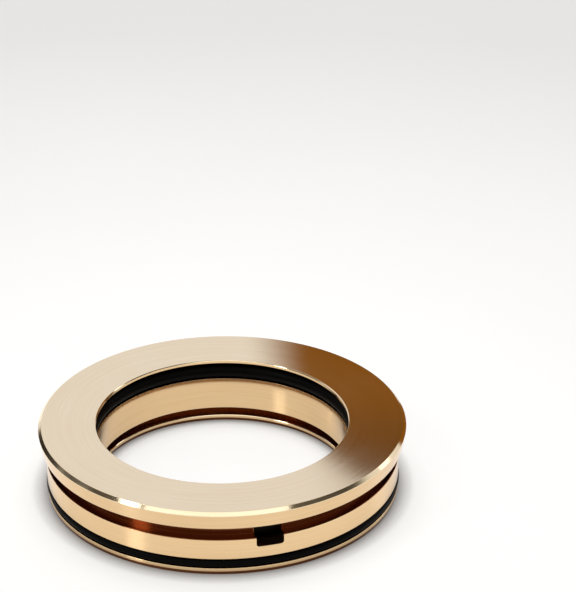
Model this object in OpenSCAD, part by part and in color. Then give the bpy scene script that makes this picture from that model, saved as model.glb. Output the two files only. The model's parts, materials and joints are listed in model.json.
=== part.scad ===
// Bronze bearing isolator: a labyrinth seal ring for a rotating shaft.
//
// The stator is pushed into a housing bore and stands still. The rotor grips the
// shaft with its drive ring and turns inside the stator without touching it. A
// rubber ring in facing grooves keeps the two together as one unit.
//
// Millimetres. The shaft runs along Z, the inboard face lies on Z = 0 and the
// outboard flange is on top. The expulsion port points along -Y.

/* [Shaft] */
// Diameter of the shaft that the rotor turns with
shaft_d = 70; // [40:0.5:140]
// Gap between the shaft and the bronze bore, on the radius
shaft_clearance = 0.1; // [0.05:0.05:0.3]

/* [Overall] */
// Width of the whole seal along the shaft
overall_w = 20; // [19:0.1:30]
// How far the flange stands out past the stator, on the radius
flange_overhang = 2.05; // [0.5:0.05:5]
// Height of the flange's rim
rim_h = 5.75; // [5:0.05:6.5]
// How far the rim's outside tapers in towards its lower edge, on the radius
rim_taper = 1.95; // [0:0.05:2.2]
// Height of the open gutter between the rim and the stator's ledge
gutter_h = 3.55; // [2.5:0.05:4]
// Depth of the gutter, from the stator's outside to the weir
gutter_depth = 2.8; // [1:0.1:5]

/* [Rotor] */
// Wall of the rotor's sleeve, from the bore to its outside
sleeve_wall = 5.9; // [5.5:0.1:9]
// Thickness of the flange between the sleeve and the rim
flange_web_h = 2.8; // [2:0.1:3.5]
// Width of the tooth under the flange
tooth_w = 1.4; // [1:0.1:3]
// Length of the tooth under the flange
tooth_h = 3; // [1.5:0.1:3.5]

/* [Stator] */
// Thickness of the inboard plate
plate_h = 1.75; // [1.5:0.05:3]
// Gap between the rotor's bore and the wider bore of the plate's lip, on the radius
lip_clearance = 0.5; // [0.2:0.05:1]
// Oil gap between the plate and the end of the rotor's sleeve
oil_gap_h = 2.65; // [1:0.05:2.8]
// Thickness of each weir wall beside the tooth
weir_wall = 1.4; // [1:0.1:3]

/* [Running gaps] */
// Gap between turning and standing bronze, on the radius
run_gap = 0.4; // [0.3:0.05:0.6]
// Gap between turning and standing bronze, along the shaft
face_gap = 0.5; // [0.3:0.05:0.8]

/* [Drive ring] */
// Cord diameter of the rubber ring in the rotor's bore
drive_cord = 4; // [3:0.01:4.3]
// Bronze left between the outboard face and the drive groove
drive_land = 0.9; // [0.8:0.05:1.6]
// Width of the drive groove
drive_groove_w = 5.2; // [4.8:0.1:6]
// How far the drive ring stands proud of the bore
drive_proud = 0.2; // [0.1:0.01:0.22]
// Height of the lead-in below the drive groove, which lets the shaft slide in
drive_lead_h = 1.4; // [0.5:0.1:2]

/* [Housing ring] */
// Cord diameter of the rubber ring around the stator
housing_cord = 2.4; // [2:0.01:2.6]
// Height of the lip below the housing groove
housing_land = 1.9; // [1.5:0.05:3]
// Width of the housing groove
housing_groove_w = 2.9; // [2.7:0.05:4]
// How far the housing ring stands proud of the stator
housing_proud = 0.2; // [0.1:0.01:0.22]

/* [Unitising ring] */
// Cord diameter of the rubber ring that holds rotor and stator together
unit_cord = 4; // [3:0.1:4.4]
// How far the unitising ring reaches into the rotor's groove
unit_bite = 0.9; // [0.5:0.05:1.2]
// Play above and below the unitising ring in the stator's groove
unit_play = 0.2; // [0.1:0.05:0.4]
// Bronze left between the tooth's channel and the unitising groove
unit_roof = 1.6; // [1:0.1:2.2]
// Gap between a rubber ring and the walls that it lies against
cord_seat = 0.05; // [0.01:0.01:0.1]

/* [Expulsion port and oil return] */
// Width of the port
port_w = 7.6; // [4:0.1:14]
// Depth of the port's floor below the ledge
port_depth = 2.7; // [1:0.05:3.2]
// Corner radius at the port's floor
port_corner_r = 0.8; // [0.2:0.1:1.4]
// How far the port breaks into the unitising groove
port_break = 0.6; // [0.2:0.1:1]
// Width of the oil return notch in the plate's lip
return_w = 8; // [4:0.5:14]
// Reach of the oil return notch past the lip
return_reach = 4.5; // [2.5:0.1:5]

/* [Edges] */
// Cut on the flange's outboard edge
rim_cut = 0.9; // [0.3:0.05:1.5]
// Cut on the bore's outboard edge
bore_cut = 0.25; // [0.1:0.05:0.6]
// Depth of the lead-ins, on the radius
lead_in = 0.25; // [0.1:0.05:0.4]
// Height of the lead-in at the stator's foot
foot_lead_h = 1; // [0.3:0.05:1.3]
// Height of the lead-in at the lip's inboard edge
lip_lead_h = 0.9; // [0.3:0.05:1.2]
// Small cut that breaks the other visible edges
edge_break = 0.15; // [0.05:0.05:0.25]

/* [Hidden] */

// Facets used for the on-screen preview of every turned form
$fn = 180;
// How far a cutter passes beyond the wall that it cuts
cutter_over = 1;

// Radii, built up from the shaft outwards
bore_r = shaft_d / 2 + shaft_clearance;
sleeve_r = bore_r + sleeve_wall;
cavity_r = sleeve_r + run_gap;
channel_in_r = cavity_r + weir_wall;
tooth_in_r = channel_in_r + run_gap;
tooth_out_r = tooth_in_r + tooth_w;
channel_out_r = tooth_out_r + run_gap;
gutter_r = channel_out_r + weir_wall;
rim_in_r = gutter_r + run_gap;
stator_r = gutter_r + gutter_depth;
flange_r = stator_r + flange_overhang;
rim_low_r = flange_r - rim_taper;
lip_r = bore_r + lip_clearance;

// Level of the sleeve's end, built up from the inboard face
sleeve_end_z = plate_h + oil_gap_h;

// Levels of the upper end, built down from the outboard face
flange_web_z = overall_w - flange_web_h;
rim_low_z = overall_w - rim_h;
ledge_z = rim_low_z - gutter_h;
weir_z = flange_web_z - face_gap;
tooth_low_z = flange_web_z - tooth_h;
channel_z = tooth_low_z - face_gap;

// Drive ring, housing ring and their grooves
drive_floor_r = bore_r - drive_proud + drive_cord + cord_seat;
drive_high_z = overall_w - drive_land;
drive_low_z = drive_high_z - drive_groove_w;
housing_floor_r = stator_r + housing_proud - housing_cord - cord_seat;
housing_high_z = housing_land + housing_groove_w;

// Unitising ring, its square groove in the stator and its round groove in the rotor
unit_high_z = channel_z - unit_roof;
unit_low_z = unit_high_z - unit_cord - 2 * unit_play;
unit_centre_z = (unit_low_z + unit_high_z) / 2;
unit_centre_r = sleeve_r - unit_bite + unit_cord / 2;
unit_floor_r = unit_centre_r + unit_cord / 2 + cord_seat;
unit_rotor_groove_r = unit_cord / 2 + run_gap;

// Port and oil return
port_floor_z = ledge_z - port_depth;
port_in_r = unit_floor_r - port_break;
return_end_r = lip_r + return_reach;

// Outline points of a square groove in a wall, from one level to the other
function groove(wall_r, floor_r, first_z, last_z) =
    [[wall_r, first_z], [floor_r, first_z], [floor_r, last_z], [wall_r, last_z]];

// Outline of the stator's section: up the inside, over the weir, down the outside
function stator_outline() = concat(
    [[lip_r + lead_in, 0], [lip_r, lip_lead_h]],
    [[lip_r, plate_h - edge_break], [lip_r + edge_break, plate_h]],
    [[cavity_r, plate_h]],
    groove(cavity_r, unit_floor_r, unit_low_z, unit_high_z),
    [[cavity_r, weir_z], [channel_in_r, weir_z]],
    [[channel_in_r, channel_z], [channel_out_r, channel_z]],
    [[channel_out_r, weir_z], [gutter_r, weir_z]],
    [[gutter_r, ledge_z]],
    [[stator_r - edge_break, ledge_z], [stator_r, ledge_z - edge_break]],
    groove(stator_r, housing_floor_r, housing_high_z, housing_land),
    [[stator_r, foot_lead_h], [stator_r - lead_in, 0]]
);

// Outline of the rotor's section: up the sleeve's outside, round the flange, down the bore
function rotor_outline() = concat(
    [[bore_r + edge_break, sleeve_end_z], [sleeve_r - edge_break, sleeve_end_z]],
    [[sleeve_r, sleeve_end_z + edge_break]],
    [[sleeve_r, flange_web_z], [tooth_in_r, flange_web_z]],
    [[tooth_in_r, tooth_low_z], [tooth_out_r, tooth_low_z]],
    [[tooth_out_r, flange_web_z], [rim_in_r, flange_web_z]],
    [[rim_in_r, rim_low_z]],
    [[rim_low_r - edge_break, rim_low_z], [rim_low_r, rim_low_z + edge_break]],
    [[flange_r, overall_w - rim_cut], [flange_r - rim_cut, overall_w]],
    [[bore_r + bore_cut, overall_w], [bore_r, overall_w - bore_cut]],
    [[bore_r, drive_high_z], [drive_floor_r, drive_high_z], [drive_floor_r, drive_low_z]],
    [[bore_r + lead_in, drive_low_z], [bore_r, drive_low_z - drive_lead_h]],
    [[bore_r, sleeve_end_z + edge_break]]
);

// Rubber cord ring, with its centre line at this radius and level
module cord_ring(cord_d, centre_r, centre_z) {
    translate([0, 0, centre_z])
        rotate_extrude()
            translate([centre_r, 0])
                circle(d = cord_d);
}

// Cutter for the port: open above, with round corners at its floor
module port_cutter() {
    half_w = port_w / 2;
    top_z = weir_z + cutter_over;
    reach = stator_r + cutter_over - port_in_r;
    translate([0, -port_in_r, 0])
        rotate([90, 0, 0])
            linear_extrude(height = reach)
                union() {
                    translate([-half_w, port_floor_z + port_corner_r])
                        square([port_w, top_z - port_floor_z - port_corner_r]);
                    translate([port_corner_r - half_w, port_floor_z])
                        square([port_w - 2 * port_corner_r, top_z - port_floor_z]);
                    for (side = [-1, 1])
                        translate([side * (half_w - port_corner_r), port_floor_z + port_corner_r])
                            circle(r = port_corner_r);
                }
}

// Cutter for the oil return: a round-ended notch through the plate's lip
module return_cutter() {
    end_y = return_w / 2 - return_end_r;
    translate([0, 0, -cutter_over])
        linear_extrude(height = plate_h + 2 * cutter_over)
            union() {
                translate([0, end_y])
                    circle(d = return_w);
                translate([-return_w / 2, end_y])
                    square([return_w, lip_r + end_y]);
            }
}

// Standing bronze ring with the weir, the port and the oil return
module stator() {
    color("#cda765")
        difference() {
            rotate_extrude()
                polygon(stator_outline());
            port_cutter();
            return_cutter();
        }
}

// Turning bronze ring: sleeve, flange and tooth in one piece
module rotor() {
    color("#e0c48f")
        rotate_extrude()
            difference() {
                polygon(rotor_outline());
                translate([unit_centre_r, unit_centre_z])
                    circle(r = unit_rotor_groove_r);
            }
}

// Rubber ring that seals the stator in its housing, lying on the groove's lower wall
module housing_o_ring() {
    color("#141312")
        cord_ring(
            housing_cord,
            housing_floor_r + cord_seat + housing_cord / 2,
            housing_land + cord_seat + housing_cord / 2
        );
}

// Rubber ring that turns the rotor with the shaft, lying on the groove's lower wall
module drive_o_ring() {
    color("#141312")
        cord_ring(
            drive_cord,
            drive_floor_r - cord_seat - drive_cord / 2,
            drive_low_z + cord_seat + drive_cord / 2
        );
}

// Rubber ring in the facing grooves, which stops the rotor from leaving the stator
module unitising_o_ring() {
    color("#141312")
        cord_ring(unit_cord, unit_centre_r, unit_centre_z);
}

stator();
rotor();
housing_o_ring();
drive_o_ring();
unitising_o_ring();
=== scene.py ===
"""Studio scene of a bronze bearing isolator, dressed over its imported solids.

The rotor and the stator are turned again as fine lathe meshes, with the small edge
rounds that let a polished edge catch the light, and the rubber rings get their mould
line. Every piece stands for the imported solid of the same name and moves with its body.
The flange's rim also differs from the solid's: it is less tall and tapers less.
"""

from __future__ import annotations

import json
import logging
import math
from dataclasses import dataclass
from enum import Enum

import bpy
from mathutils import Matrix, Vector

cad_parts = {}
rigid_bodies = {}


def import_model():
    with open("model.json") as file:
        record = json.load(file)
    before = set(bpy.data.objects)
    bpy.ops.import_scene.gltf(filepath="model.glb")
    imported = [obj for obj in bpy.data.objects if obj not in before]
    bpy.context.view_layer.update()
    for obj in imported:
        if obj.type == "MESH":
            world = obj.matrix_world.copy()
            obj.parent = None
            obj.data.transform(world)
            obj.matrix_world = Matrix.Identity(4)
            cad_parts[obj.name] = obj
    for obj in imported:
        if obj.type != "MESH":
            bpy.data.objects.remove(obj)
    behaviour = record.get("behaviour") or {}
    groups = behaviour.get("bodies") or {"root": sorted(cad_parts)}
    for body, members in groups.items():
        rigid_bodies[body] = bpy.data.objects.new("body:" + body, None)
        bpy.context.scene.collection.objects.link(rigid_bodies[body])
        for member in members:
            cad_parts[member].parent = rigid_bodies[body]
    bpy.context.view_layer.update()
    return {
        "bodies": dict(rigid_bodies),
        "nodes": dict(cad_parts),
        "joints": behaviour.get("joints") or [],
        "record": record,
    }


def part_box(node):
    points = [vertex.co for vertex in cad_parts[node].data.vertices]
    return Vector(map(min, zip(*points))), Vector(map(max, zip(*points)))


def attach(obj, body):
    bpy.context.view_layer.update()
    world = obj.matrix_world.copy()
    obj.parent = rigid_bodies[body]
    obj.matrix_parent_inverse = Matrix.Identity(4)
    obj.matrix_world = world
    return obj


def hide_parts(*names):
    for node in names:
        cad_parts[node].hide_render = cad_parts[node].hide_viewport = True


LOG = logging.getLogger("bearing_isolator")

# Sizes are in millimetres where no docstring says metres, and meshes are made in metres.
MM = 0.001

# The camera stands this far round from the drain port, which points along -Y.
CAMERA_HEADING = math.radians(-14.5)

PRINCIPLED = "ShaderNodeBsdfPrincipled"

Colour = tuple[float, float, float]
Place = tuple[float, float, float]
Span = tuple[float, float]
Face = tuple[int, ...]
Socket = bpy.types.NodeSocket
OutlinePoint = tuple[float, float, "Zone"]

UNIT: Span = (0.0, 1.0)


class Zone(Enum):
    """Machined zones of a bronze ring, each with a material of its own. The deep-shade and hollow-shade
    zones are dark bronze that paints the shade in the gutter, on the lead-ins and in the hollows. The
    paler faced top and edge rounds are partly painted sheen and highlight, and the darker bore is partly
    painted shade.
    """

    FACED = "bronze_faced"
    TURNED = "bronze_turned"
    EDGE = "bronze_edge"
    BORED = "bronze_bored"
    PAINTED_DEEP_SHADE = "bronze_gutter"
    PAINTED_HOLLOW_SHADE = "bronze_recess"
    MILLED = "bronze_milled"


class NodeSheet:
    """Adds and links the nodes of one material or world."""

    # Noise keeps near one half, so this middle range of it is spread out.
    noise_span: Span = (0.3, 0.7)

    def __init__(self, tree: bpy.types.NodeTree) -> None:
        """Empties the tree and keeps it."""
        tree.nodes.clear()
        self.tree = tree

    def add(self, kind: str, **settings: object) -> bpy.types.Node:
        """Adds a node and sets its properties.

        Args:
            kind: Blender's name of the node type.
            **settings: Properties of the node and their values.

        Returns:
            The new node.
        """
        node = self.tree.nodes.new(kind)
        for name, value in settings.items():
            setattr(node, name, value)
        return node

    def join(self, source: Socket, target: Socket) -> None:
        """Links an output to an input."""
        self.tree.links.new(source, target)

    def object_place(self) -> Socket:
        """Returns an output that gives the place on the object, in its own axes."""
        return self.add("ShaderNodeTexCoord").outputs["Object"]

    def axes(self, vector: Socket) -> bpy.types.NodeOutputs:
        """Splits a vector into its axes.

        Args:
            vector: Output to split.

        Returns:
            Outputs named X, Y and Z.
        """
        node = self.add("ShaderNodeSeparateXYZ")
        self.join(vector, node.inputs["Vector"])
        return node.outputs

    def vector_work(self, operation: str, vector: Socket) -> bpy.types.Node:
        """Adds a vector operation.

        Args:
            operation: Blender's name of the operation.
            vector: Output that is its first operand.

        Returns:
            The new node.
        """
        node = self.add("ShaderNodeVectorMath", operation=operation)
        self.join(vector, node.inputs[0])
        return node

    def length(self, vector: Socket) -> Socket:
        """Returns an output that is the length of a vector."""
        return self.vector_work("LENGTH", vector).outputs["Value"]

    def heading(self, vector: Socket) -> Socket:
        """Returns an output that is a vector brought to length 1."""
        return self.vector_work("NORMALIZE", vector).outputs["Vector"]

    def worked(self, operation: str, source: Socket, value: float) -> Socket:
        """Applies an operation with a constant, such as a factor.

        Args:
            operation: Blender's name of the operation.
            source: Output that is the first operand.
            value: Constant second operand.

        Returns:
            The result's output.
        """
        node = self.add("ShaderNodeMath", operation=operation)
        node.inputs[1].default_value = value
        self.join(source, node.inputs[0])
        return node.outputs[0]

    def combined(self, operation: str, first: Socket, second: Socket, use_clamp: bool = False) -> Socket:
        """Combines two outputs.

        Args:
            operation: Blender's name of the operation.
            first: First operand.
            second: Second operand.
            use_clamp: Whether the result is kept between 0 and 1.

        Returns:
            The result's output.
        """
        node = self.add("ShaderNodeMath", operation=operation, use_clamp=use_clamp)
        self.join(first, node.inputs[0])
        self.join(second, node.inputs[1])
        return node.outputs[0]

    def mapped(
        self, source: Socket, span: Span, values: Span, interpolation: str = "LINEAR"
    ) -> bpy.types.Node:
        """Maps a span of an output to a range of values.

        Args:
            source: Output to map.
            span: Where the map starts and ends on the source.
            values: Values at the span's start and end, which also hold beyond it.
            interpolation: Blender's name of the way between them.

        Returns:
            The new node.
        """
        node = self.add("ShaderNodeMapRange", interpolation_type=interpolation)
        node.inputs["From Min"].default_value = span[0]
        node.inputs["From Max"].default_value = span[1]
        node.inputs["To Min"].default_value = values[0]
        node.inputs["To Max"].default_value = values[1]
        self.join(source, node.inputs["Value"])
        return node

    def ranged(self, noise: Socket, values: Span) -> Socket:
        """Returns an output that spreads a noise over a range of values."""
        return self.mapped(noise, self.noise_span, values).outputs["Result"]

    def faded(self, source: Socket, span: Span, values: Span) -> Socket:
        """Returns an output that fades smoothly between two values over a span."""
        return self.mapped(source, span, values, "SMOOTHSTEP").outputs["Result"]

    def blended(self, factor: Socket, low: Colour, high: Colour) -> Socket:
        """Blends two colours by a factor.

        Args:
            factor: Output from 0 to 1.
            low: Colour at 0.
            high: Colour at 1.

        Returns:
            The blended colour output.
        """
        node = self.add("ShaderNodeMix", data_type="RGBA")
        first, second = [socket for socket in node.inputs if socket.type == "RGBA"]
        first.default_value = (*low, 1.0)
        second.default_value = (*high, 1.0)
        self.join(factor, node.inputs["Factor"])
        return [socket for socket in node.outputs if socket.type == "RGBA"][0]

    def noise(self, place: Socket, scale: float, detail: float = 2.0) -> Socket:
        """Makes noise.

        Args:
            place: Output that gives the place, in metres.
            scale: How often the noise changes in a metre.
            detail: Number of finer layers in it.

        Returns:
            The noise output.
        """
        node = self.add("ShaderNodeTexNoise")
        node.inputs["Scale"].default_value = scale
        node.inputs["Detail"].default_value = detail
        self.join(place, node.inputs["Vector"])
        return node.outputs["Fac"]

    def raised(self, relief: Socket, strength: float, height: float, shader: bpy.types.Node) -> None:
        """Gives a shader a fine relief.

        Args:
            relief: Output that gives the relief, from 0 to 1.
            strength: Share of the relief that shows.
            height: Height of the relief.
            shader: Shader that takes it.
        """
        bump = self.add("ShaderNodeBump")
        bump.inputs["Strength"].default_value = strength
        bump.inputs["Distance"].default_value = height * MM
        self.join(relief, bump.inputs["Height"])
        self.join(bump.outputs["Normal"], shader.inputs["Normal"])


def new_surface(name: str, kind: str) -> tuple[bpy.types.Material, NodeSheet, bpy.types.Node]:
    """Starts a material.

    Args:
        name: Name of the material.
        kind: Blender's name of the shader node that makes its surface.

    Returns:
        The material, its nodes, and its shader.
    """
    material = bpy.data.materials.new(name)
    material.use_nodes = True
    sheet = NodeSheet(material.node_tree)
    output = sheet.add("ShaderNodeOutputMaterial")
    shader = sheet.add(kind)
    sheet.join(shader.outputs[0], output.inputs["Surface"])
    return material, sheet, shader


def new_object(name: str, data: bpy.types.ID) -> bpy.types.Object:
    """Makes an object and links it to the scene.

    Args:
        name: Name of the object.
        data: Its mesh, light or camera.

    Returns:
        The new object.
    """
    made = bpy.data.objects.new(name, data)
    bpy.context.scene.collection.objects.link(made)
    return made


def new_mesh(
    name: str, vertices: list[Place], faces: list[Face], materials: list[bpy.types.Material]
) -> bpy.types.Object:
    """Makes a mesh object and links it to the scene.

    Args:
        name: Name of the object and of its mesh.
        vertices: Places of the vertices.
        faces: Vertex numbers of each face.
        materials: Materials, in the order of their slots.

    Returns:
        The new object.
    """
    mesh = bpy.data.meshes.new(name)
    mesh.from_pydata(vertices, [], faces)
    for material in materials:
        mesh.materials.append(material)
    mesh.update()
    return new_object(name, mesh)


def new_square(name: str, half: float, material: bpy.types.Material) -> bpy.types.Object:
    """Makes a flat square about the origin.

    Args:
        name: Name of the square.
        half: Half of its side.
        material: Its material.

    Returns:
        The new object.
    """
    corners = [(-half, -half, 0.0), (half, -half, 0.0), (half, half, 0.0), (-half, half, 0.0)]
    return new_mesh(name, corners, [(0, 1, 2, 3)], [material])


@dataclass(frozen=True)
class BronzeFinish:
    """Turned bronze: fine tool lines that run round the axis, and a satin gloss along them."""

    zone: Zone
    pale: Colour
    deep: Colour
    roughness: Span
    stretch: float = 0.5
    lines_per_mm: float = 3.0
    line_height: float = 0.003
    stretch_turn: float = 0.25
    line_strength: float = 0.35
    line_sweep: float = 1.6
    line_detail: float = 2.0
    line_tone: float = 0.7
    cloud_scale: float = 45.0
    cloud_detail: float = 4.0
    cloud_tone: float = 0.3
    cloud_roughness: Span = (-0.015, 0.02)

    def material(self) -> bpy.types.Material:
        """Builds the finish.

        Returns:
            A node material, named for its zone.
        """
        material, sheet, shader = new_surface(self.zone.value, PRINCIPLED)
        shader.inputs["Metallic"].default_value = 1.0
        shader.inputs["Anisotropic"].default_value = self.stretch
        shader.inputs["Anisotropic Rotation"].default_value = self.stretch_turn
        tangent = sheet.add("ShaderNodeTangent", direction_type="RADIAL", axis="Z")
        sheet.join(tangent.outputs["Tangent"], shader.inputs["Tangent"])

        lines = self.tool_lines(sheet)
        # Handling leaves broad, faint clouds on bare bronze.
        cloud = sheet.noise(sheet.object_place(), self.cloud_scale, self.cloud_detail)
        line_tone = sheet.ranged(lines, (0.0, self.line_tone))
        cloud_tone = sheet.ranged(cloud, (0.0, self.cloud_tone))
        tone = sheet.combined("ADD", line_tone, cloud_tone, use_clamp=True)
        sheet.join(sheet.blended(tone, self.deep, self.pale), shader.inputs["Base Color"])
        line_roughness = sheet.ranged(lines, self.roughness)
        cloud_roughness = sheet.ranged(cloud, self.cloud_roughness)
        roughness = sheet.combined("ADD", line_roughness, cloud_roughness)
        sheet.join(roughness, shader.inputs["Roughness"])
        sheet.raised(lines, self.line_strength, self.line_height, shader)
        return material

    def tool_lines(self, sheet: NodeSheet) -> Socket:
        """Makes noise that is fine across the tool's path and long along it.

        Args:
            sheet: Nodes of the material.

        Returns:
            The noise output.
        """
        place = sheet.axes(sheet.object_place())
        flat = sheet.add("ShaderNodeCombineXYZ")
        sheet.join(place["X"], flat.inputs["X"])
        sheet.join(place["Y"], flat.inputs["Y"])
        radius = sheet.length(flat.outputs["Vector"])
        sweep = sheet.axes(sheet.heading(flat.outputs["Vector"]))
        path = sheet.add("ShaderNodeCombineXYZ")
        density = self.lines_per_mm / MM
        sheet.join(sheet.worked("MULTIPLY", radius, density), path.inputs["X"])
        sheet.join(sheet.worked("MULTIPLY", sweep["X"], self.line_sweep), path.inputs["Y"])
        sheet.join(sheet.worked("MULTIPLY", sweep["Y"], self.line_sweep), path.inputs["Z"])
        noise = sheet.add("ShaderNodeTexNoise", noise_dimensions="4D")
        noise.inputs["Scale"].default_value = 1.0
        noise.inputs["Detail"].default_value = self.line_detail
        sheet.join(path.outputs["Vector"], noise.inputs["Vector"])
        sheet.join(sheet.worked("MULTIPLY", place["Z"], density), noise.inputs["W"])
        return noise.outputs["Fac"]


@dataclass(frozen=True)
class RubberFinish:
    """Black moulded nitrile rubber with a fine grain and a little bloom."""

    name: str = "rubber_black"
    deep: Colour = (0.001, 0.0009, 0.0009)
    bloom: Colour = (0.0035, 0.003, 0.003)
    bloom_scale: float = 180.0
    roughness: Span = (0.38, 0.5)
    ior: float = 1.5
    specular: float = 0.04
    grain_scale: float = 2600.0
    grain_detail: float = 3.0
    grain_strength: float = 0.25
    grain_height: float = 0.02

    def material(self) -> bpy.types.Material:
        """Builds the finish.

        Returns:
            The node material.
        """
        material, sheet, shader = new_surface(self.name, PRINCIPLED)
        shader.inputs["IOR"].default_value = self.ior
        shader.inputs["Specular IOR Level"].default_value = self.specular
        place = sheet.object_place()
        grain = sheet.noise(place, self.grain_scale, self.grain_detail)
        bloom = sheet.noise(place, self.bloom_scale)
        colour = sheet.blended(sheet.ranged(bloom, UNIT), self.deep, self.bloom)
        sheet.join(colour, shader.inputs["Base Color"])
        sheet.join(sheet.ranged(bloom, self.roughness), shader.inputs["Roughness"])
        sheet.raised(grain, self.grain_strength, self.grain_height, shader)
        return material


@dataclass(frozen=True)
class FloorFinish:
    """White studio floor, lifted to white where it lies open by a glow that is painted light, with a
    sheen in the gloss. The glow paints a pool of light round the seal and a contact shadow at its foot.
    """

    name: str = "floor_white"
    low: Colour = (0.41, 0.41, 0.406)
    high: Colour = (0.43, 0.43, 0.426)
    cloud_scale: float = 6.0
    glow: Colour = (1.0, 1.0, 1.0)
    lift: float = 0.66
    contact: float = 5.2
    contact_samples: int = 8
    contact_power: float = 2.0
    pool_near: float = 100.0
    pool_far: float = 350.0
    pool_edge: float = 0.72
    roughness: float = 0.2
    sheen: float = 0.45
    sheen_seen: float = 0.0

    def material(self) -> bpy.types.Material:
        """Builds the finish.

        Returns:
            The node material.
        """
        material, sheet, shader = new_surface(self.name, PRINCIPLED)
        shader.inputs["Roughness"].default_value = self.roughness
        shader.inputs["Emission Color"].default_value = (*self.glow, 1.0)
        place = sheet.object_place()
        cloud = sheet.noise(place, self.cloud_scale)
        colour = sheet.blended(sheet.ranged(cloud, UNIT), self.low, self.high)
        sheet.join(colour, shader.inputs["Base Color"])
        rays = sheet.add("ShaderNodeLightPath")
        sheen = sheet.mapped(rays.outputs["Is Camera Ray"], UNIT, (self.sheen, self.sheen_seen))
        sheet.join(sheen.outputs["Result"], shader.inputs["Specular IOR Level"])

        # The lift is a painted pool of light that fades with the distance from the seal, and it fades in
        # the seal's contact shadow, which paints that shade.
        pool = sheet.mapped(
            sheet.length(place),
            (self.pool_near * MM, self.pool_far * MM),
            (self.lift, self.lift * self.pool_edge),
        )
        open_sky = sheet.add("ShaderNodeAmbientOcclusion", samples=self.contact_samples)
        open_sky.inputs["Distance"].default_value = self.contact * MM
        shade = sheet.worked("POWER", open_sky.outputs["AO"], self.contact_power)
        lifted = sheet.combined("MULTIPLY", pool.outputs["Result"], shade)
        seen = sheet.combined("MAXIMUM", rays.outputs["Is Camera Ray"], rays.outputs["Is Glossy Ray"])
        shown = sheet.combined("MULTIPLY", lifted, seen)
        sheet.join(shown, shader.inputs["Emission Strength"])
        return material


@dataclass(frozen=True)
class Corner:
    """Corner of a turned outline, with the zone of the stretch that starts at it."""

    r: float
    z: float
    zone: Zone
    soft: float = 0.0


class Lathe:
    """Turns an outline of corners into a closed ring mesh."""

    around: int = 360
    arc_steps: int = 5
    # A round takes up at most this share of the stretch on either side of it.
    trim_share: float = 0.45
    # A round that touches one of these zones has no bright edge of its own.
    dull_zones: frozenset[Zone] = frozenset({Zone.PAINTED_HOLLOW_SHADE, Zone.PAINTED_DEEP_SHADE, Zone.BORED})

    def __init__(self, name: str, corners: list[Corner]) -> None:
        """Keeps the piece's name and the corners of its outline."""
        self.name = name
        self.corners = corners

    def outline(self) -> list[OutlinePoint]:
        """Rounds the corners that have an edge radius.

        Returns:
            Points of the closed outline, each with the zone of the stretch after it.
        """
        points: list[OutlinePoint] = []
        count = len(self.corners)
        for index, corner in enumerate(self.corners):
            before = self.corners[index - 1]
            after = self.corners[(index + 1) % count]
            points.extend(self.softened(before, corner, after))
        return points

    def softened(self, before: Corner, corner: Corner, after: Corner) -> list[OutlinePoint]:
        """Replaces one corner by a small arc.

        Args:
            before: Corner before it.
            corner: Corner to round.
            after: Corner after it.

        Returns:
            The points that take the corner's place.
        """
        if corner.soft <= 0.0:
            return [(corner.r, corner.z, corner.zone)]
        here = Vector((corner.r, corner.z))
        back = Vector((before.r, before.z)) - here
        ahead = Vector((after.r, after.z)) - here
        opening = back.angle(ahead)
        trim = corner.soft / math.tan(opening / 2)
        trim = min(trim, self.trim_share * back.length, self.trim_share * ahead.length)
        radius = trim * math.tan(opening / 2)
        middle = (back.normalized() + ahead.normalized()).normalized()
        centre = here + middle * (radius / math.sin(opening / 2))
        start = here + back.normalized() * trim - centre
        end = here + ahead.normalized() * trim - centre
        swing = math.atan2(start.x * end.y - start.y * end.x, start.dot(end))
        # Other rounds take the paler edge bronze, which paints the cream tint of their highlights.
        dull = not self.dull_zones.isdisjoint((corner.zone, before.zone))
        points: list[OutlinePoint] = []
        for step in range(self.arc_steps + 1):
            turn = Matrix.Rotation(swing * step / self.arc_steps, 2)
            spot = centre + turn @ start
            last = step == self.arc_steps
            points.append((spot.x, spot.y, corner.zone if dull or last else Zone.EDGE))
        return points

    def turned(self, finishes: dict[Zone, bpy.types.Material]) -> bpy.types.Object:
        """Makes the ring.

        Args:
            finishes: Material of each zone.

        Returns:
            The new object, linked to the scene.
        """
        points = self.outline()
        count = len(points)
        zones = list(dict.fromkeys(point[2] for point in points))
        # The sign of the outline's area tells which way it runs, and so which way faces look.
        area = 0.0
        for index, point in enumerate(points):
            other = points[(index + 1) % count]
            area += point[0] * other[1] - other[0] * point[1]
        vertices: list[Place] = []
        faces: list[Face] = []
        slots: list[int] = []
        for spoke in range(self.around):
            angle = math.tau * spoke / self.around
            cos, sin = math.cos(angle), math.sin(angle)
            vertices.extend((r * cos * MM, r * sin * MM, z * MM) for r, z, _ in points)
            near = spoke * count
            far = ((spoke + 1) % self.around) * count
            for index, point in enumerate(points):
                after = (index + 1) % count
                quad = (near + index, near + after, far + after, far + index)
                faces.append(quad if area < 0.0 else quad[::-1])
                slots.append(zones.index(point[2]))
        ring = new_mesh(self.name, vertices, faces, [finishes[zone] for zone in zones])
        ring.data.polygons.foreach_set("material_index", slots)
        ring.data.update()
        return ring


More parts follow.
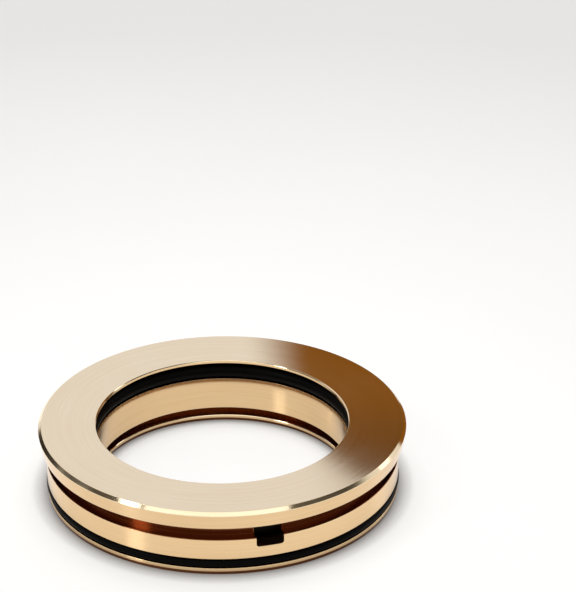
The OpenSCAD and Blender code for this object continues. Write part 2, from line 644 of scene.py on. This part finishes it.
class Bench:
    """Mesh work that follows the turning: milling and the shading of edges."""

    # Edges that bend more than this many degrees stay hard.
    sharp_degrees: float = 30.0
    # At this weight the largest face at a corner sets the normal.
    flat_weight: int = 100

    @staticmethod
    def prism(
        name: str,
        outline: list[tuple[float, float]],
        reach: Span,
        frame: Matrix,
        material: bpy.types.Material,
    ) -> bpy.types.Object:
        """Makes a straight cutter from an outline.

        Args:
            name: Name of the cutter.
            outline: Points of the outline, in order.
            reach: Where the cutter starts and ends along its axis.
            frame: Turns the outline's axes into the model's.
            material: Finish that the cut walls take.

        Returns:
            The cutter, linked to the scene.
        """
        count = len(outline)
        vertices = [tuple(frame @ Vector((x, y, end)) * MM) for end in reach for x, y in outline]
        faces: list[Face] = [tuple(reversed(range(count))), tuple(range(count, 2 * count))]
        for index in range(count):
            after = (index + 1) % count
            faces.append((index, after, count + after, count + index))
        return new_mesh(name, vertices, faces, [material])

    @staticmethod
    def cut(ring: bpy.types.Object, cutters: list[bpy.types.Object]) -> None:
        """Cuts the cutters out of a ring and removes them.

        Args:
            ring: Piece that is cut.
            cutters: Closed meshes that are taken away.
        """
        for cutter in cutters:
            cut = ring.modifiers.new(cutter.name, "BOOLEAN")
            cut.operation = "DIFFERENCE"
            cut.solver = "EXACT"
            cut.material_mode = "TRANSFER"
            cut.object = cutter
        graph = bpy.context.evaluated_depsgraph_get()
        mesh = bpy.data.meshes.new_from_object(ring.evaluated_get(graph))
        mesh.name = ring.name
        ring.modifiers.clear()
        ring.data = mesh
        for cutter in cutters:
            spent = cutter.data
            bpy.data.objects.remove(cutter)
            bpy.data.meshes.remove(spent)

    @classmethod
    def shade(cls, ring: bpy.types.Object) -> None:
        """Shades a piece smooth, with flat walls kept flat and hard corners kept hard.

        Args:
            ring: Piece to shade.
        """
        mesh = ring.data
        mesh.polygons.foreach_set("use_smooth", [True] * len(mesh.polygons))
        mesh.set_sharp_from_angle(angle=math.radians(cls.sharp_degrees))
        weigh = ring.modifiers.new("flat_walls", "WEIGHTED_NORMAL")
        weigh.keep_sharp = True
        weigh.weight = cls.flat_weight


@dataclass
class Rotor:
    """Turning bronze ring: sleeve, flange with its rim, tooth and drive groove."""

    bore_r: float
    flange_r: float
    top_z: float
    end_z: float
    unit_centre_r: float
    unit_centre_z: float
    unit_cord_r: float
    sleeve_r: float = 41.0
    unit_gap: float = 0.4
    unit_steps: int = 16
    web_z: float = 17.2
    tooth_in_r: float = 43.2
    tooth_out_r: float = 44.6
    tooth_z: float = 14.2
    rim_in_r: float = 46.8
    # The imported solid's rim ends 0.55 mm lower than this and tapers by 1.95 mm.
    rim_z: float = 14.8
    rim_taper: float = 0.8
    rim_cut: float = 0.9
    bore_cut: float = 0.25
    drive_floor_r: float = 38.95
    drive_high_z: float = 19.1
    drive_low_z: float = 13.9
    drive_lead_h: float = 1.4
    lead_in: float = 0.25
    lead_blend: float = 7.0
    edge_break: float = 0.15
    soft: float = 0.14
    fine: float = 0.05

    def round_groove(self) -> list[Corner]:
        """Lists the points of the round groove for the unitising ring.

        Returns:
            The points, from low to high.
        """
        groove_r = self.unit_cord_r + self.unit_gap
        mouth = math.acos((self.sleeve_r - self.unit_centre_r) / groove_r)
        points: list[Corner] = []
        for step in range(self.unit_steps + 1):
            angle = -mouth - (math.tau - 2.0 * mouth) * step / self.unit_steps
            r = self.unit_centre_r + groove_r * math.cos(angle)
            z = self.unit_centre_z + groove_r * math.sin(angle)
            points.append(Corner(r, z, Zone.PAINTED_HOLLOW_SHADE))
        return points

    def corners(self) -> list[Corner]:
        """Lists the outline's corners.

        Returns:
            The corners, up the sleeve, round the flange and down the bore.
        """
        faced, turned, edge, hollow_shade = Zone.FACED, Zone.TURNED, Zone.EDGE, Zone.PAINTED_HOLLOW_SHADE
        deep_shade, bored = Zone.PAINTED_DEEP_SHADE, Zone.BORED
        soft, fine = self.soft, self.fine
        rim_low_r = self.flange_r - self.rim_taper
        # Hollow-shade zones paint the shade on the sleeve, in its grooves, under the web and inside the
        # rim.
        return [
            Corner(self.bore_r + self.edge_break, self.end_z, hollow_shade, fine),
            Corner(self.sleeve_r - self.edge_break, self.end_z, hollow_shade, fine),
            Corner(self.sleeve_r, self.end_z + self.edge_break, hollow_shade, fine),
            *self.round_groove(),
            Corner(self.sleeve_r, self.web_z, hollow_shade),
            Corner(self.tooth_in_r, self.web_z, hollow_shade),
            Corner(self.tooth_in_r, self.tooth_z, hollow_shade, fine),
            Corner(self.tooth_out_r, self.tooth_z, hollow_shade, fine),
            Corner(self.tooth_out_r, self.web_z, hollow_shade),
            Corner(self.rim_in_r, self.web_z, hollow_shade),
            # The rim's underside is painted deep shade.
            Corner(self.rim_in_r, self.rim_z, deep_shade, fine),
            Corner(rim_low_r - self.edge_break, self.rim_z, edge, fine),
            Corner(rim_low_r, self.rim_z + self.edge_break, turned, fine),
            Corner(self.flange_r, self.top_z - self.rim_cut, edge, soft),
            Corner(self.flange_r - self.rim_cut, self.top_z, faced, soft),
            Corner(self.bore_r + self.bore_cut, self.top_z, edge, soft),
            Corner(self.bore_r, self.top_z - self.bore_cut, turned, soft),
            Corner(self.bore_r, self.drive_high_z, hollow_shade, fine),
            Corner(self.drive_floor_r, self.drive_high_z, hollow_shade),
            Corner(self.drive_floor_r, self.drive_low_z, hollow_shade),
            Corner(self.bore_r + self.lead_in, self.drive_low_z, bored, fine),
            Corner(self.bore_r, self.drive_low_z - self.drive_lead_h, bored, self.lead_blend),
            Corner(self.bore_r, self.end_z + self.edge_break, edge, fine),
        ]

    def build(self, finishes: dict[Zone, bpy.types.Material]) -> bpy.types.Object:
        """Turns the ring and puts it in its place.

        Args:
            finishes: Material of each zone.

        Returns:
            The dressed piece.
        """
        ring = Lathe("rotor_turned", self.corners()).turned(finishes)
        Bench.shade(ring)
        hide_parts("rotor")
        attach(ring, "rotor")
        return ring


@dataclass
class Stator:
    """Standing bronze ring: plate with its lip, ledge, weir, drain port and ring groove."""

    outer_r: float
    weir_z: float
    lip_r: float = 35.6
    plate_z: float = 1.75
    cavity_r: float = 41.4
    unit_floor_r: float = 44.15
    unit_low_z: float = 7.7
    unit_high_z: float = 12.1
    channel_in_r: float = 42.8
    channel_out_r: float = 45.0
    channel_z: float = 13.7
    gutter_r: float = 46.4
    ledge_z: float = 10.7
    groove_floor_r: float = 46.95
    groove_high_z: float = 4.8
    groove_low_z: float = 1.9
    foot_lead_h: float = 1.0
    lip_lead_h: float = 0.9
    lead_in: float = 0.25
    edge_break: float = 0.15
    soft: float = 0.12
    fine: float = 0.05
    port_width: float = 7.6
    port_floor_z: float = 8.0
    port_corner_r: float = 0.8
    port_corner_steps: int = 8
    port_in_r: float = 43.55
    return_width: float = 8.0
    return_end_r: float = 40.1
    return_steps: int = 24
    # Cutters run past the bronze by this much.
    overrun: float = 1.0

    def corners(self) -> list[Corner]:
        """Lists the outline's corners.

        Returns:
            The corners, up the inside, over the weir and down the outside.
        """
        faced, turned, edge, hollow_shade = Zone.FACED, Zone.TURNED, Zone.EDGE, Zone.PAINTED_HOLLOW_SHADE
        deep_shade = Zone.PAINTED_DEEP_SHADE
        soft, fine = self.soft, self.fine
        # Hollow-shade zones paint the shade on the plate, in the cavity, the channel and the ring
        # groove.
        return [
            # Deep-shade zones here paint the shade on the lip's lead-in, in the gutter and on the foot's
            # lead-in.
            Corner(self.lip_r + self.lead_in, 0.0, deep_shade, fine),
            Corner(self.lip_r, self.lip_lead_h, turned, soft),
            Corner(self.lip_r, self.plate_z - self.edge_break, edge, fine),
            Corner(self.lip_r + self.edge_break, self.plate_z, hollow_shade, fine),
            Corner(self.cavity_r, self.plate_z, hollow_shade),
            Corner(self.cavity_r, self.unit_low_z, hollow_shade, fine),
            Corner(self.unit_floor_r, self.unit_low_z, hollow_shade),
            Corner(self.unit_floor_r, self.unit_high_z, hollow_shade),
            Corner(self.cavity_r, self.unit_high_z, hollow_shade, fine),
            Corner(self.cavity_r, self.weir_z, hollow_shade, fine),
            Corner(self.channel_in_r, self.weir_z, hollow_shade, fine),
            Corner(self.channel_in_r, self.channel_z, hollow_shade),
            Corner(self.channel_out_r, self.channel_z, hollow_shade),
            Corner(self.channel_out_r, self.weir_z, hollow_shade, fine),
            Corner(self.gutter_r, self.weir_z, deep_shade, fine),
            Corner(self.gutter_r, self.ledge_z, deep_shade, fine),
            Corner(self.outer_r - self.edge_break, self.ledge_z, deep_shade, fine),
            Corner(self.outer_r, self.ledge_z - self.edge_break, turned, fine),
            Corner(self.outer_r, self.groove_high_z, hollow_shade, fine),
            Corner(self.groove_floor_r, self.groove_high_z, hollow_shade),
            Corner(self.groove_floor_r, self.groove_low_z, hollow_shade),
            Corner(self.outer_r, self.groove_low_z, turned, soft),
            Corner(self.outer_r, self.foot_lead_h, deep_shade, soft),
            Corner(self.outer_r - self.lead_in, 0.0, faced, fine),
        ]

    def port_cutter(self, material: bpy.types.Material) -> bpy.types.Object:
        """Makes the cutter of the drain port.

        Args:
            material: Finish of the milled walls.

        Returns:
            The cutter, open above and round at its lower corners.
        """
        half = self.port_width / 2
        round_r = self.port_corner_r
        high_z = self.weir_z + self.overrun
        outline: list[tuple[float, float]] = [(half, high_z), (-half, high_z)]
        for side, first in ((-1, 180.0), (1, 270.0)):
            for step in range(self.port_corner_steps + 1):
                angle = math.radians(first + 90.0 * step / self.port_corner_steps)
                x = side * (half - round_r) + round_r * math.cos(angle)
                z = self.port_floor_z + round_r + round_r * math.sin(angle)
                outline.append((x, z))
        # The outline's second axis becomes the model's Z, and the cutter runs along -Y.
        frame = Matrix(((1, 0, 0), (0, 0, -1), (0, 1, 0)))
        reach = (self.port_in_r, self.outer_r + self.overrun)
        return Bench.prism("port_cutter", outline, reach, frame, material)

    def return_cutter(self, material: bpy.types.Material) -> bpy.types.Object:
        """Makes the cutter of the oil return notch in the plate's lip.

        Args:
            material: Finish of the milled walls.

        Returns:
            The cutter, round at its outer end.
        """
        half = self.return_width / 2
        end_y = half - self.return_end_r
        outline: list[tuple[float, float]] = []
        for step in range(self.return_steps + 1):
            angle = math.radians(180.0 + 180.0 * step / self.return_steps)
            outline.append((half * math.cos(angle), end_y + half * math.sin(angle)))
        outline += [(half, end_y + self.lip_r), (-half, end_y + self.lip_r)]
        reach = (-self.overrun, self.plate_z + self.overrun)
        return Bench.prism("return_cutter", outline, reach, Matrix.Identity(3), material)

    def build(self, finishes: dict[Zone, bpy.types.Material]) -> bpy.types.Object:
        """Turns the ring, mills its port and notch and puts it in its place.

        Args:
            finishes: Material of each zone.

        Returns:
            The dressed piece.
        """
        ring = Lathe("stator_turned", self.corners()).turned(finishes)
        milled = finishes[Zone.MILLED]
        Bench.cut(ring, [self.port_cutter(milled), self.return_cutter(milled)])
        Bench.shade(ring)
        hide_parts("stator")
        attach(ring, "stator")
        return ring


@dataclass
class RubberRing:
    """Moulded rubber ring with the thin mould line round its inside and outside."""

    node: str
    body: str
    mould_line: float = 0.03
    # The cord is narrower by this share of the line's height on each side.
    line_sunk: float = 0.6
    around: int = 360
    across: int = 48

    def build(self, material: bpy.types.Material) -> bpy.types.Object:
        """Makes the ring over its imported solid.

        Args:
            material: Rubber finish.

        Returns:
            The dressed piece.
        """
        low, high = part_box(self.node)
        cord_r = (high[2] - low[2]) / 2
        centre_z = (high[2] + low[2]) / 2
        centre_r = (high[1] - low[1]) / 2 - cord_r
        vertices: list[Place] = []
        faces: list[Face] = []
        for spoke in range(self.around):
            angle = math.tau * spoke / self.around
            near = spoke * self.across
            far = ((spoke + 1) % self.around) * self.across
            for step in range(self.across):
                swing = math.tau * step / self.across
                ridge = self.mould_line * MM if step in (0, self.across // 2) else 0.0
                half_width = cord_r - self.line_sunk * self.mould_line * MM + ridge
                r = centre_r + half_width * math.cos(swing)
                z = centre_z + cord_r * math.sin(swing)
                vertices.append((r * math.cos(angle), r * math.sin(angle), z))
                after = (step + 1) % self.across
                faces.append((near + step, far + step, far + after, near + after))
        ring = new_mesh(f"{self.node}_moulded", vertices, faces, [material])
        ring.data.polygons.foreach_set("use_smooth", [True] * len(faces))
        ring.data.update()
        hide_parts(self.node)
        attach(ring, self.body)
        return ring


def from_camera_side(azimuth: float, elevation: float) -> Vector:
    """Gives a direction by where it lies for someone at the camera.

    Args:
        azimuth: Degrees to the right of the camera's side, so 180 is behind the seal.
        elevation: Degrees above the floor.

    Returns:
        Unit vector in the model's frame, from the seal outwards.
    """
    side = math.radians(azimuth)
    rise = math.radians(elevation)
    seen = Vector((
        math.sin(side) * math.cos(rise),
        -math.cos(side) * math.cos(rise),
        math.sin(rise),
    ))
    return Matrix.Rotation(CAMERA_HEADING, 3, "Z") @ seen


@dataclass(frozen=True)
class SoftBox:
    """Rectangular studio light that faces the seal, with its distance and sides in metres."""

    name: str
    azimuth: float
    elevation: float
    distance: float
    width: float
    height: float
    brightness: float
    tint: Colour = (1.0, 0.99, 0.97)
    in_gloss: bool = True

    def build(self) -> bpy.types.Object:
        """Hangs the light.

        Returns:
            The light object.
        """
        lamp = bpy.data.lights.new(self.name, "AREA")
        lamp.shape = "RECTANGLE"
        lamp.size = self.width
        lamp.size_y = self.height
        lamp.energy = self.brightness * math.pi * self.width * self.height
        lamp.color = self.tint
        light = new_object(self.name, lamp)
        light.visible_glossy = self.in_gloss
        towards = from_camera_side(self.azimuth, self.elevation)
        light.location = towards * self.distance
        light.rotation_euler = (-towards).to_track_quat("-Z", "Y").to_euler()
        return light


@dataclass(frozen=True)
class Flag:
    """Dark card that stands out of the picture and only shows in the gloss of the bronze.

    Its start and end lie in axes that are turned with the camera. Across the card, places
    run from -1 to 1.
    """

    name: str
    start: Place
    end: Place
    width: float
    low: Colour = (0.012, 0.007, 0.002)
    high: Colour = (0.012, 0.007, 0.002)
    hard: float = 0.7
    hard_middle: float = 0.7
    hard_from: float = 0.7
    tone_from: float = -1.0
    upright: bool = False

    def build(self) -> bpy.types.Object:
        """Stands the card, long side from its start to its end.

        Returns:
            The card, hidden from the camera, from diffuse light and from shadows.
        """
        turn = Matrix.Rotation(CAMERA_HEADING, 3, "Z")
        first = turn @ Vector(self.start) * MM
        last = turn @ Vector(self.end) * MM
        centre = (first + last) / 2
        along = (last - first).normalized()
        facing = Vector((-centre.x, -centre.y, 0.0 if self.upright else -centre.z))
        facing = (facing - facing.dot(along) * along).normalized()
        across = facing.cross(along)
        card = new_square(self.name, 1.0, self.material())
        axes = Matrix((along, across, facing)).transposed().to_4x4()
        size = Matrix.Diagonal(((last - first).length / 2, self.width * MM / 2, 1.0, 1.0))
        card.matrix_world = Matrix.Translation(centre) @ axes @ size
        card.visible_camera = False
        card.visible_diffuse = False
        card.visible_shadow = False
        return card

    def material(self) -> bpy.types.Material:
        """Builds a dark finish that fades out towards the card's edge.

        Returns:
            The node material.
        """
        material, sheet, mix = new_surface(f"{self.name}_card", "ShaderNodeMixShader")
        dark = sheet.add("ShaderNodeEmission")
        clear = sheet.add("ShaderNodeBsdfTransparent")
        place = sheet.object_place()
        across = sheet.axes(place)["Y"]
        tone = sheet.mapped(across, (self.tone_from, 1.0), UNIT)
        sheet.join(sheet.blended(tone.outputs["Result"], self.low, self.high), dark.inputs["Color"])
        solid = sheet.mapped(across, (0.0, self.hard_from), (self.hard_middle, self.hard))
        fade = sheet.mapped(sheet.length(place), UNIT, UNIT, "SMOOTHSTEP")
        sheet.join(solid.outputs["Result"], fade.inputs["From Min"])
        sheet.join(fade.outputs["Result"], mix.inputs[0])
        sheet.join(dark.outputs["Emission"], mix.inputs[1])
        sheet.join(clear.outputs["BSDF"], mix.inputs[2])
        return material


@dataclass
class Studio:
    """Pale floor, soft lights, and a room whose gloss is bright but for a dark hoop.

    Half the floor's side is in metres.
    """

    floor_half: float = 4.0
    bright: Colour = (0.9, 0.89, 0.875)
    dim: Colour = (0.1, 0.088, 0.07)
    bright_azimuth: float = 165.0
    bright_span: Span = (0.4, 0.62)
    hoop_tilt: float = 30.25
    hoop_inside: Span = (0.745, 0.79)
    hoop_outside: Span = (0.625, 0.67)
    hoop_ends: Span = (0.5, 0.6)

    def floor(self) -> bpy.types.Object:
        """Lays the floor.

        Returns:
            The floor.
        """
        floor = new_square("floor", self.floor_half, FloorFinish().material())
        return floor

    def surroundings(self) -> bpy.types.World:
        """Makes the room: bright behind the seal and dim in front, where gloss shows only a dark hoop.

        Returns:
            The scene's world.
        """
        world = bpy.data.worlds.new("studio_room")
        bpy.context.scene.world = world
        world.use_nodes = True
        sheet = NodeSheet(world.node_tree)
        output = sheet.add("ShaderNodeOutputWorld")
        light = sheet.add("ShaderNodeBackground")
        sheet.join(light.outputs["Background"], output.inputs["Surface"])
        direction = sheet.add("ShaderNodeTexCoord").outputs["Generated"]
        behind = sheet.vector_work("DOT_PRODUCT", direction)
        behind.inputs[1].default_value = from_camera_side(self.bright_azimuth, 0.0)
        front = sheet.faded(behind.outputs["Value"], self.bright_span, (1.0, 0.0))
        # All rays but those of gloss see the whole front dim.
        rays = sheet.add("ShaderNodeLightPath")
        shown = sheet.mapped(rays.outputs["Is Glossy Ray"], UNIT, (1.0, 1.0))
        sheet.join(self.hoop(sheet, direction), shown.inputs["To Max"])
        dark = sheet.combined("MULTIPLY", front, shown.outputs["Result"])
        sheet.join(sheet.blended(dark, self.bright, self.dim), light.inputs["Color"])
        return world

    def hoop(self, sheet: NodeSheet, direction: Socket) -> Socket:
        """Marks the directions of the dark hoop that hangs over the front of the seal.

        Args:
            sheet: Nodes of the room.
            direction: Output that gives the direction in the room.

        Returns:
            Output that is 1 on the hoop and 0 elsewhere.
        """
        # Half way between a direction and the hoop's tilt is the normal that mirrors one to the other.
        leaned = sheet.vector_work("ADD", direction)
        leaned.inputs[1].default_value = from_camera_side(0.0, self.hoop_tilt)
        rise = sheet.axes(sheet.heading(leaned.outputs["Vector"]))["Z"]
        outside = sheet.faded(rise, self.hoop_outside, UNIT)
        inside = sheet.faded(rise, self.hoop_inside, (1.0, 0.0))
        band = sheet.combined("MULTIPLY", outside, inside)
        ends = sheet.faded(sheet.axes(direction)["Z"], self.hoop_ends, UNIT)
        return sheet.combined("MULTIPLY", band, ends)

    def flags(self) -> list[bpy.types.Object]:
        """Stands the dark cards: one at the back right, two to the left and one to the right.

        Returns:
            The cards.
        """
        brown: Colour = (0.24, 0.092, 0.006)
        umber: Colour = (0.03, 0.013, 0.002)
        cards = [
            Flag(
                "flag_back", (4.0, 92.0, 26.0), (178.0, 92.0, 26.0), width=174.0,
                low=brown, high=umber, hard=0.92, tone_from=0.42, upright=True,
            ),
            Flag("flag_left", (-345.0, -70.0, 350.0), (-449.0, 230.0, 200.0), width=100.0),
            Flag("flag_far_left", (-459.0, 150.0, 240.0), (-280.0, 470.0, 0.0), width=100.0),
            Flag("flag_right", (275.0, -148.0, 390.0), (405.0, 105.0, 272.0), width=110.0),
        ]
        return [card.build() for card in cards]

    def lights(self) -> list[bpy.types.Object]:
        """Hangs the lights.

        Returns:
            The light objects.
        """
        boxes = [
            SoftBox(
                "overhead", azimuth=-6.0, elevation=61.0, distance=0.62,
                width=0.74, height=0.16, brightness=1.4,
            ),
            SoftBox(
                "top_back", azimuth=180.0, elevation=78.0, distance=1.0,
                width=0.7, height=0.5, brightness=4.4, in_gloss=False,
            ),
            SoftBox(
                "key", azimuth=-69.0, elevation=49.0, distance=0.8,
                width=0.12, height=0.12, brightness=9.0,
            ),
            SoftBox(
                "low_key", azimuth=-57.0, elevation=30.0, distance=0.8,
                width=0.14, height=0.12, brightness=9.0,
            ),
            SoftBox(
                "side", azimuth=118.0, elevation=29.0, distance=0.7,
                width=0.2, height=0.2, brightness=0.9,
            ),
        ]
        return [box.build() for box in boxes]


@dataclass(frozen=True)
class PhotoCamera:
    """Camera that sees the seal as it lies in the picture, 576 by 592 pixels.

    Angles are in radians, and the clipping distances in metres.
    """

    focal_pixels: float = 2837.21
    long_side: float = 592.0
    distance: float = 800.8
    elevation: float = 0.5279663
    pan: float = -0.0238114
    tilt: float = -0.064875
    roll: float = -0.0148924
    sensor: float = 36.0
    clip: Span = (0.05, 50.0)

    def build(self) -> bpy.types.Object:
        """Places the camera.

        Returns:
            The scene's camera.
        """
        data = bpy.data.cameras.new("photo_camera")
        data.sensor_width = self.sensor
        data.sensor_fit = "AUTO"
        data.lens = self.focal_pixels * self.sensor / self.long_side
        data.clip_start, data.clip_end = self.clip
        camera = new_object("photo_camera", data)
        camera.matrix_world = self.placing()
        bpy.context.scene.camera = camera
        return camera

    def placing(self) -> Matrix:
        """Works out the camera's place and turn.

        Returns:
            World matrix of the camera.
        """
        cos, sin = math.cos(self.elevation), math.sin(self.elevation)
        aim = Matrix(((1.0, 0.0, 0.0), (0.0, -sin, -cos), (0.0, cos, -sin)))
        view = (
            Matrix.Rotation(self.roll, 3, "Z")
            @ Matrix.Rotation(self.pan, 3, "Y")
            @ Matrix.Rotation(self.tilt, 3, "X")
            @ aim
        )
        columns = Matrix((view[0], -view[1], -view[2])).transposed()
        turn = Matrix.Rotation(CAMERA_HEADING, 3, "Z")
        placing = (turn @ columns).to_4x4()
        place = Vector((0.0, -self.distance * cos, self.distance * sin)) * MM
        placing.translation = turn @ place
        return placing


def bronze_finishes() -> dict[Zone, bpy.types.Material]:
    """Builds the bronze finishes.

    Returns:
        Material of each machined zone.
    """
    finishes = [
        # The faced top is paler than the turned walls: partly its satin facing, partly a painted sheen
        # for the bright light it reflects.
        BronzeFinish(
            Zone.FACED, pale=(0.88, 0.76, 0.6), deep=(0.82, 0.68, 0.5),
            roughness=(0.12, 0.17), stretch=0.65, lines_per_mm=4.0,
        ),
        BronzeFinish(
            Zone.TURNED, pale=(0.81, 0.585, 0.34), deep=(0.75, 0.515, 0.275),
            roughness=(0.1, 0.16), stretch=0.7, lines_per_mm=4.0,
        ),
        # The bore is darker than the turned walls, partly painted shade for the dimmer light inside the
        # bore.
        BronzeFinish(
            Zone.BORED, pale=(0.72, 0.515, 0.295), deep=(0.66, 0.45, 0.235),
            roughness=(0.1, 0.16), stretch=0.7, lines_per_mm=4.0,
        ),
        # The edge rounds are paler than the turned walls, which paints the cream tint of their
        # highlights.
        BronzeFinish(
            Zone.EDGE, pale=(0.88, 0.74, 0.53), deep=(0.82, 0.66, 0.44),
            roughness=(0.08, 0.12), lines_per_mm=5.0, line_height=0.002,
        ),
        # Dark maroon bronze that paints the deep shade in the gutter, under the rim and on the lead-ins.
        BronzeFinish(
            Zone.PAINTED_DEEP_SHADE, pale=(0.24, 0.09, 0.034), deep=(0.18, 0.062, 0.022),
            roughness=(0.13, 0.18), line_height=0.002,
        ),
        # Dark bronze that paints the shade in the hollows and grooves.
        BronzeFinish(
            Zone.PAINTED_HOLLOW_SHADE, pale=(0.46, 0.24, 0.1), deep=(0.36, 0.17, 0.07), roughness=(0.16, 0.22),
        ),
        BronzeFinish(
            Zone.MILLED, pale=(0.7, 0.48, 0.24), deep=(0.6, 0.38, 0.17),
            roughness=(0.18, 0.26), stretch=0.3, line_height=0.004,
        ),
    ]
    return {finish.zone: finish.material() for finish in finishes}


def main() -> None:
    """Builds the seal and its studio."""
    logging.basicConfig(level=logging.INFO, format="%(name)s: %(message)s")
    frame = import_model()
    bpy.context.scene.view_settings.view_transform = "Standard"
    PhotoCamera().build()

    bore = next(mount for mount in frame["record"]["mounts"] if mount["name"] == "shaft_bore")
    rotor_low, rotor_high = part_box("rotor")
    stator_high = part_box("stator")[1]
    unit_low, unit_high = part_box("unitising_o_ring")
    unit_cord_r = (unit_high[2] - unit_low[2]) / 2
    finishes = bronze_finishes()
    rubber = RubberFinish().material()
    rotor = Rotor(
        bore_r=bore["dims"]["r_mm"],
        flange_r=rotor_high[0] / MM,
        top_z=rotor_high[2] / MM,
        end_z=rotor_low[2] / MM,
        unit_centre_r=(unit_high[1] - unit_cord_r) / MM,
        unit_centre_z=(unit_high[2] + unit_low[2]) / 2 / MM,
        unit_cord_r=unit_cord_r / MM,
    )
    stator = Stator(outer_r=stator_high[0] / MM, weir_z=stator_high[2] / MM)
    made = [rotor.build(finishes), stator.build(finishes)]
    for node, body in (
        ("housing_o_ring", "stator"),
        ("drive_o_ring", "rotor"),
        ("unitising_o_ring", "stator"),
    ):
        made.append(RubberRing(node, body).build(rubber))
    for piece in made:
        LOG.info("%s: %d faces", piece.name, len(piece.data.polygons))

    studio = Studio()
    studio.floor()
    studio.surroundings()
    studio.flags()
    studio.lights()


if __name__ == "__main__":
    main()
